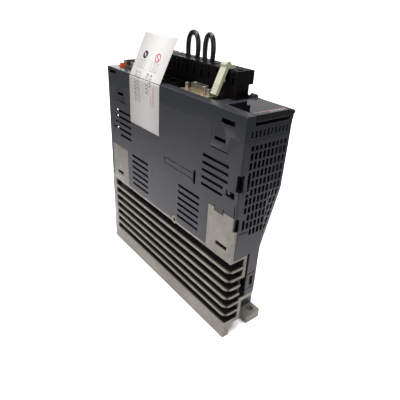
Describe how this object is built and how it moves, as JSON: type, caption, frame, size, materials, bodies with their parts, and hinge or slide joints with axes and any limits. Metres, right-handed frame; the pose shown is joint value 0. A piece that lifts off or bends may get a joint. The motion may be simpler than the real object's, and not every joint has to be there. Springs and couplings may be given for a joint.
{
  "type": "servo drive",
  "caption": "Slim panel-mounted servo drive with a finned side heat sink, vented case, hinged display lid, plug-in power terminals and signal connectors on its front.",
  "frame": {"origin": "centre of the flat mounting face at the back of the heat sink", "axes": "+Z out of the drive's front, +Y towards its top end when mounted, +X towards its right side, where the fins are"},
  "size_m": [0.0405, 0.1695, 0.2047],
  "materials": {
    "heat_sink": "cast and bead blasted, faintly warm grey",
    "case_plastic": "fine textured moulding, charcoal",
    "cover_plastic": "fine textured moulding, dark charcoal",
    "lid_smoked": "polished smoked plastic",
    "black_plastic": "satin moulding",
    "connector_black": "satin moulding",
    "wire_insulation": "smooth insulation",
    "lever_ivory": "smooth moulding",
    "orange_plastic": "smooth moulding",
    "white_plastic": "smooth moulding",
    "grey_plastic": "satin moulding",
    "lamp_red": "clear tinted lens",
    "paper_tag": null,
    "label_film": "blank silver-grey film",
    "board_laminate": "solder resist over laminate",
    "plated_steel": "nickel plated sheet",
    "passivated_plate": "yellow passivated sheet",
    "screw_steel": "zinc plated",
    "contact_metal": "tin and gold flashed",
    "module_black": "moulded epoxy",
    "can_sleeve": "shrunk sleeve",
    "ferrite_tape": "ferrite core with taped winding"
  },
  "bodies": {
    "housing": {"board_link_connector": "white_plastic", "board_standoffs": "screw_steel", "bottom_foot_cover": "case_plastic", "bus_capacitors": "can_sleeve", "charge_lamp": "lamp_red", "connector_deck": "black_plastic", "control_board": "board_laminate", "control_board_screws": "screw_steel", "control_chips": "module_black", "control_power_header": "black_plastic", "control_power_header_pins": "contact_metal", "current_sensors": "module_black", "dip_switch_body": "connector_black", "earth_screw": "screw_steel", "encoder_connector_insert": "connector_black", "encoder_connector_shell": "plated_steel", "front_cover": "cover_plastic", "ground_plate": "passivated_plate", "heat_sink": "heat_sink", "inrush_relay": "grey_plastic", "jack_posts": "plated_steel", "lid_hinge_pins": "black_plastic", "line_power_header": "black_plastic", "line_power_header_pins": "contact_metal", "main_case": "case_plastic", "module_screws": "screw_steel", "motor_power_header": "black_plastic", "motor_power_header_pins": "contact_metal", "network_sockets": "connector_black", "power_board": "board_laminate", "power_board_screws": "screw_steel", "power_module": "module_black", "rating_label": "label_film", "rectifier_bridge": "module_black", "rotary_switch_body": "connector_black", "safety_socket": "connector_black", "seven_segment_display": "module_black", "signal_connector_insert": "connector_black", "signal_connector_shell": "plated_steel", "supply_transformer": "ferrite_tape", "top_foot_cover": "case_plastic", "usb_socket": "plated_steel", "warning_tag": "paper_tag"},
    "display_lid": {"display_lid": "lid_smoked"},
    "rotary_rotor": {"rotary_switch_rotor": "white_plastic"},
    "line_plug": {"line_power_plug": "connector_black", "line_power_plug_contacts": "contact_metal", "short_jumper_wire": "wire_insulation"},
    "control_plug": {"control_power_plug": "connector_black", "control_power_plug_contacts": "contact_metal", "long_jumper_wire": "wire_insulation"},
    "motor_plug": {"motor_power_plug": "connector_black", "motor_power_plug_contacts": "contact_metal"},
    "lever": {"opening_lever": "lever_ivory"},
    "safety_plug": {"safety_plug": "orange_plastic"},
    "dip_slider_1": {"dip_slider_1": "white_plastic"},
    "dip_slider_2": {"dip_slider_2": "white_plastic"},
    "dip_slider_3": {"dip_slider_3": "white_plastic"},
    "dip_slider_4": {"dip_slider_4": "white_plastic"}
  },
  "joints": [
    {"name": "lid_hinge", "type": "hinge", "parent": "housing", "child": "display_lid", "pos_m": [-0.0184, 0.0685, 0.1685], "axis": [0, -1, 0], "range_deg": [0, 105]},
    {"name": "rotary_turn", "type": "hinge", "parent": "housing", "child": "rotary_rotor", "pos_m": [-0.0087, 0.0635, 0.1665], "axis": [0, 0, 1], "continuous": true},
    {"name": "dip_slide_1", "type": "slide", "parent": "housing", "child": "dip_slider_1", "axis": [0, 1, 0], "range_m": [0, 0.0016]},
    {"name": "dip_slide_2", "type": "slide", "parent": "housing", "child": "dip_slider_2", "axis": [0, 1, 0], "range_m": [0, 0.0016]},
    {"name": "dip_slide_3", "type": "slide", "parent": "housing", "child": "dip_slider_3", "axis": [0, 1, 0], "range_m": [0, 0.0016]},
    {"name": "dip_slide_4", "type": "slide", "parent": "housing", "child": "dip_slider_4", "axis": [0, 1, 0], "range_m": [0, 0.0016]},
    {"name": "line_plug_slide", "type": "slide", "parent": "housing", "child": "line_plug", "axis": [0, 0, 1], "range_m": [0, 0.02]},
    {"name": "control_plug_slide", "type": "slide", "parent": "housing", "child": "control_plug", "axis": [0, 0, 1], "range_m": [0, 0.02]},
    {"name": "motor_plug_slide", "type": "slide", "parent": "housing", "child": "motor_plug", "axis": [0, 0, 1], "range_m": [0, 0.02]},
    {"name": "lever_press", "type": "hinge", "parent": "line_plug", "child": "lever", "pos_m": [-0.0052, 0.0352, 0.1873], "axis": [0, 1, 0], "range_deg": [0, 16], "stiffness_Nm_per_rad": 0.02},
    {"name": "safety_plug_slide", "type": "slide", "parent": "housing", "child": "safety_plug", "axis": [0, 0, 1], "range_m": [0, 0.012]}
  ]
}
